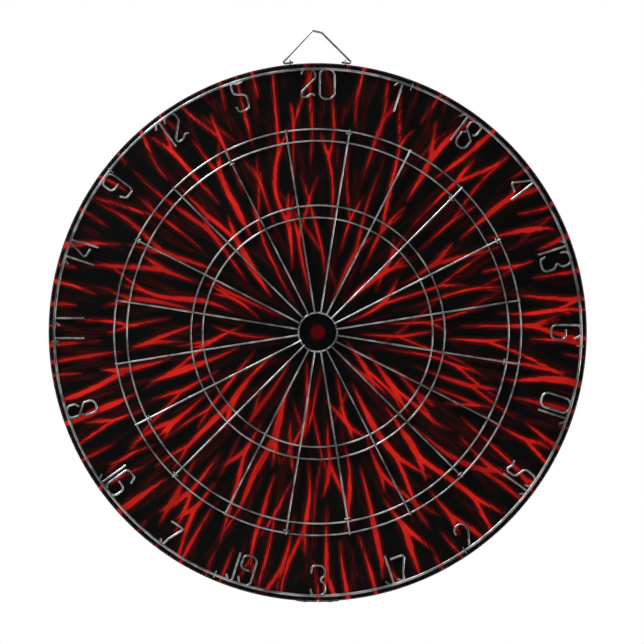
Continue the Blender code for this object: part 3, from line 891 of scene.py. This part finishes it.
def make_nails(material):
    """Domed nail heads over the strap, each on its own shank."""
    dome = [math.radians(angle) for angle in range(0, 91, 10)]
    profile = [(NAIL_HEAD_RADIUS * math.sin(angle), -NAIL_DOME * math.cos(angle)) for angle in dome]
    profile += [(NAIL_HEAD_RADIUS, NAIL_SINK), (NAIL_SHANK_RADIUS, NAIL_SINK),
                (NAIL_SHANK_RADIUS, NAIL_LENGTH - NAIL_POINT), (0, NAIL_LENGTH)]
    for name, node, angle in (("strap_nail_left", "band_nail_left", 180 + NAIL_ANGLE),
                              ("strap_nail_right", "band_nail_right", 180 - NAIL_ANGLE)):
        item = link(name, lathe(name, profile, steps=24))
        inward = -outward(angle)
        item.location = dial_point(STRAP_RADIUS + STRAP_WALL, angle, BAND_MIDDLE_Y) + inward * NAIL_SINK
        item.rotation_mode = "QUATERNION"
        item.rotation_quaternion = Vector((0, 1, 0)).rotation_difference(inward)
        place(item, "board", "fixing_steel", material, node)


def make_back(material):
    """The hardboard disc, with its outer edge chamfered at the back."""
    low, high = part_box("back_panel")
    chamfer = 0.5 * MM
    profile = [(0, low.y), (DISC_RADIUS, low.y), (DISC_RADIUS, high.y - chamfer),
               (DISC_RADIUS - 0.3 * chamfer, high.y - 0.3 * chamfer), (DISC_RADIUS - chamfer, high.y)]
    profile += [(r * DISC_RADIUS, high.y) for r in (0.75, 0.5, 0.25, 0)]
    mesh = lathe("hardboard_disc", profile, steps=256)
    place(link("hardboard_disc", mesh), "board", "hardboard", material, "back_panel")


# ---------------------------------------------------------------- wires

def ring_path(radius, y, rng, wobble):
    """A hoop that is a little out of round, as hand-finished wire is."""
    phases = [rng.random() * TURN for _ in range(3)]
    count = max(FEWEST_RING_SEGMENTS, round(TURN * radius / RING_SEGMENT))
    path = []
    for k in range(count):
        angle = TURN * k / count
        out = wobble * (math.sin(2 * angle + phases[0]) + 0.5 * math.sin(5 * angle + phases[1]))
        lift = RING_LIFT * math.sin(3 * angle + phases[2])
        path.append(dial_point(radius + out, math.degrees(angle), y + lift))
    return path


def make_spider(material):
    """The welded web: five hoops, and twenty spokes laid over them, with a bead at each crossing."""
    rng = random.Random(SPIDER_SEED)
    spoke_angles = [SECTOR_DEG * (k + 0.5) for k in range(len(DIAL))]
    for name, radius in RINGS.items():
        path = ring_path(radius, RING_Y, rng, BULL_RING_WOBBLE if name == "bull_ring" else RING_WOBBLE)
        beads = []
        for angle in spoke_angles:
            where = min(path, key=lambda point: (point - dial_point(radius, angle, RING_Y)).length)
            beads.append((where + Vector((0, -BEAD_LIFT, 0)), clockwise(angle)))
        mesh = wire_mesh(name + "_wire", [path], SPIDER_WIRE, closed=(0,), beads=beads)
        place(link(name + "_wire", mesh), "board", "wire_steel", material, name)
    for k, angle in enumerate(spoke_angles):
        node = f"spoke_{DIAL[k]}_{DIAL[(k + 1) % len(DIAL)]}"
        bow = draw_mm(rng, (-SPOKE_BOW_MM, SPOKE_BOW_MM))
        span = SPOKE_OUTER_RADIUS - SPOKE_INNER_RADIUS
        path = []
        for i in range(SPOKE_STEPS + 1):
            share = i / SPOKE_STEPS
            sideways = clockwise(angle) * bow * math.sin(math.pi * share)
            path.append(dial_point(SPOKE_INNER_RADIUS + span * share, angle, SPOKE_Y) + sideways)
        mesh = wire_mesh(node + "_wire", [path], SPIDER_WIRE)
        place(link(node + "_wire", mesh), "board", "wire_steel", material, node)


def digit_glyph(letter, base_on_ring):
    """Corners of one digit; a nine is a six turned half round."""
    if letter == "9":
        return [(DIGIT_WIDTH - x, DIGIT_HEIGHT - up, bend) for x, up, bend in GLYPHS["6"]]
    if base_on_ring and letter + " base" in GLYPHS:
        return GLYPHS[letter + " base"]
    return GLYPHS[letter]


def digit_paths(number, angle):
    """Yield the bent path of each digit of a number, and whether it is a closed loop."""
    base_on_ring = number in READ_FROM_OUTSIDE
    up = -outward(angle) if base_on_ring else outward(angle)
    right = -clockwise(angle) if base_on_ring else clockwise(angle)
    foot = 0 if base_on_ring else DIGIT_HEIGHT
    letters = str(number)
    widths = [NARROW.get(letter, DIGIT_WIDTH) for letter in letters]
    gap = WIDE_GAP.get(number, DIGIT_GAP)
    left = -(sum(widths) + gap * (len(letters) - 1)) / 2
    origin = dial_point(DIGIT_RADIUS, angle, NUMBER_Y)
    for letter, width in zip(letters, widths):
        corners = [(origin + (right * (left + across) + up * (height - foot)) * MM, bend * MM)
                   for across, height, bend in digit_glyph(letter, base_on_ring)]
        closed = corners[0][1] > 0
        yield bent_path(corners, closed), closed
        left += width + gap


def make_number_ring(material):
    """The loose hoop with the dial's numbers on it, one piece for each number."""
    rng = random.Random(NUMBER_RING_SEED)
    path = ring_path(NUMBER_RADIUS, NUMBER_Y, rng, NUMBER_RING_WOBBLE)
    hoop = wire_mesh("number_hoop", [path], NUMBER_WIRE, closed=(0,))
    place(link("number_hoop", hoop), "number_ring", "wire_steel", material, "number_ring")
    for k, number in enumerate(DIAL):
        paths, closed = [], []
        for path, loop in digit_paths(number, k * SECTOR_DEG):
            if loop:
                closed.append(len(paths))
            paths.append(path)
        name = f"number_{number}"
        mesh = wire_mesh(name, paths, DIGIT_WIRE, closed=tuple(closed))
        place(link(name, mesh), "number_ring", "wire_steel", material)


def u_staple(crown, half_width, leg, bend):
    """A staple's path: crown centre, vector to one side, vector down a leg, and bend radius."""
    corners = [(crown - half_width + leg, 0), (crown - half_width, bend), (crown + half_width, bend),
               (crown + half_width + leg, 0)]
    return bent_path(corners)


def make_fixings(material):
    """The hooks over the number ring and the staples over the spider, one piece for each CAD node."""
    for i, angle in enumerate(CLIP_ANGLES, 1):
        corners = [(dial_point(CLIP_LEG_RADIUS, angle, CLIP_LEG_Y), 0),
                   (dial_point(CLIP_LEG_RADIUS, angle, CLIP_Y), CLIP_BEND),
                   (dial_point(CLIP_TIP_RADIUS, angle, CLIP_Y), 0)]
        make_fixing(f"number_ring_clip_{i}", bent_path(corners), FIXING_WIRE, material)
    places = [(RINGS[ring] - STAPLE_INSET, angle) for ring, angles in STAPLES.items() for angle in angles]
    leg = Vector((0, STAPLE_LEG_Y - STAPLE_Y, 0))
    for i, (radius, angle) in enumerate(places, 1):
        crown = dial_point(radius, angle, STAPLE_Y)
        path = u_staple(crown, clockwise(angle) * STAPLE_HALF_WIDTH, leg, STAPLE_BEND * FIXING_WIRE)
        make_fixing(f"spider_staple_{i}", path, FIXING_WIRE, material)


def make_fixing(node, path, radius, material):
    mesh = wire_mesh(node + "_wire", [path], radius)
    place(link(node + "_wire", mesh), "board", "fixing_steel", material, node)


def make_hanger(bail_steel, staple_steel):
    """The bent wire that the board hangs from, and the two staples that hold its feet."""
    corners = [(Vector((x * MM, HANGER_Y, HINGE_Z + up * MM)), bend * MM) for x, up, bend in HANGER_CORNERS]
    mesh = wire_mesh("hanger_wire", [bent_path(corners)], HANGER_WIRE)
    place(link("hanger_wire", mesh), "hanger", "wire_steel", bail_steel, "hanger_bail")
    crown_z = HINGE_Z + HANGER_WIRE + GAP + HANGER_STAPLE_WIRE
    leg = Vector((0, 0, HANGER_STAPLE_LEG_Z - crown_z))
    for side, x in (("left", -HANGER_STAPLE_X), ("right", HANGER_STAPLE_X)):
        path = u_staple(Vector((x, HANGER_Y, crown_z)), Vector((0, STAPLE_HALF_WIDTH, 0)), leg,
                        STAPLE_BEND * HANGER_STAPLE_WIRE)
        make_fixing("hanger_staple_" + side, path, HANGER_STAPLE_WIRE, staple_steel)


# ---------------------------------------------------------------- studio

LOW_AMBIENT = 0.12
HIGH_AMBIENT = 0.65
FRONT_SHARE = 0.03
BACK_SHARE = 0.35
DARK_WITHIN = math.radians(38)  # of the direction straight out from the face
LIGHT_BEYOND = math.radians(74)
WHITE = (1, 1, 1, 1)
CAMERA_PLACE = (0.0036, -1.5, 0.00855)
CAMERA_WIDTH = 0.5396
FLOOR_Z = -0.30
FLOOR_SIZE = 6


class WorldNodes:
    """Short calls for building the world's node tree."""

    def __init__(self, tree):
        self.tree = tree
        self.direction = tree.nodes.new("ShaderNodeTexCoord").outputs["Generated"]

    def ramp(self, axis, start, end, at_start, at_end):
        """A value that changes smoothly with how far a direction points along an axis."""
        dot = self.tree.nodes.new("ShaderNodeVectorMath")
        dot.operation = "DOT_PRODUCT"
        dot.inputs[1].default_value = axis
        self.tree.links.new(self.direction, dot.inputs[0])
        node = self.tree.nodes.new("ShaderNodeMapRange")
        node.interpolation_type = "SMOOTHSTEP"
        for name, value in (("From Min", start), ("From Max", end), ("To Min", at_start), ("To Max", at_end)):
            node.inputs[name].default_value = value
        self.tree.links.new(dot.outputs["Value"], node.inputs["Value"])
        return node.outputs[0]

    def product(self, a, b):
        node = self.tree.nodes.new("ShaderNodeMath")
        node.operation = "MULTIPLY"
        self.tree.links.new(a, node.inputs[0])
        self.tree.links.new(b, node.inputs[1])
        return node.outputs[0]


def studio():
    """A soft white surround, dark in front of the face so that the black print stays black."""
    scene = bpy.context.scene
    scene.view_settings.view_transform = "Standard"
    world = bpy.data.worlds.new("studio")
    scene.world = world
    world.use_nodes = True
    tree = world.node_tree
    n = WorldNodes(tree)
    front = n.ramp((0, -1, 0), start=math.cos(LIGHT_BEYOND), end=math.cos(DARK_WITHIN),
                   at_start=1.0, at_end=FRONT_SHARE)
    above = n.ramp((-0.45, 0.0, 0.89), start=-0.5, end=0.9, at_start=LOW_AMBIENT, at_end=HIGH_AMBIENT)
    behind = n.ramp((0, 1, 0), start=0.0, end=0.9, at_start=1.0, at_end=BACK_SHARE)
    lighting = tree.nodes["Background"]
    lighting.inputs["Color"].default_value = WHITE
    tree.links.new(n.product(n.product(front, above), behind), lighting.inputs["Strength"])
    backdrop = tree.nodes.new("ShaderNodeBackground")
    backdrop.inputs["Color"].default_value = WHITE
    path = tree.nodes.new("ShaderNodeLightPath")
    mix = tree.nodes.new("ShaderNodeMixShader")
    tree.links.new(path.outputs["Is Camera Ray"], mix.inputs["Fac"])
    tree.links.new(lighting.outputs[0], mix.inputs[1])
    tree.links.new(backdrop.outputs[0], mix.inputs[2])
    tree.links.new(mix.outputs[0], tree.nodes["World Output"].inputs["Surface"])


def area_light(name, where, target, size, power):
    data = bpy.data.lights.new(name, "AREA")
    data.shape = "DISK"
    data.size = size
    data.energy = power
    light = link(name, data)
    light.location = where
    light.rotation_mode = "QUATERNION"
    light.rotation_quaternion = (Vector(target) - Vector(where)).to_track_quat("-Z", "Y")


def lights():
    """A key from high on the left for the wires' shadows, a faint sheen on the face, and a side light."""
    area_light("key", (-1.15, -0.7, 1.6), (0, 0, 0), size=0.35, power=43)
    area_light("sheen", (-0.35, -0.8, 0.45), (-0.08, 0, 0.12), size=0.4, power=1.5)
    area_light("side", (2.1, -0.6, -0.3), (0, 0, 0), size=0.5, power=28)


def camera():
    data = bpy.data.cameras.new("camera")
    data.type = "ORTHO"
    data.ortho_scale = CAMERA_WIDTH
    item = link("camera", data)
    item.location = CAMERA_PLACE
    item.rotation_euler = (math.pi / 2, 0, 0)
    bpy.context.scene.camera = item


def floor():
    bpy.ops.mesh.primitive_plane_add(size=FLOOR_SIZE, location=(0, 0, FLOOR_Z))
    item = bpy.context.object
    item.name = "floor"
    item.data.materials.append(Nodes("pale_floor").surface(FLOOR_GREY, 0.7))


# ---------------------------------------------------------------- build

camera()
studio()
lights()
floor()

print_finish = print_material()
band_finish = band_material()
spider_steel = steel_material("spider_steel", SPIDER_STEEL, SPIDER_TARNISH, shine=0.30, rough=0.52)
fixing_steel = steel_material("fixing_steel", FIXING_STEEL, FIXING_TARNISH, shine=0.26, rough=0.5)

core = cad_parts["board_core"]
core.data.materials.clear()
core.data.materials.append(paper_material())
make_printed_face(print_finish)
make_bull(bull_material())
make_band(band_finish)
make_strap(band_finish)
make_nails(fixing_steel)
make_back(hardboard_material())
make_spider(spider_steel)
make_number_ring(spider_steel)
make_fixings(fixing_steel)
make_hanger(spider_steel, fixing_steel)
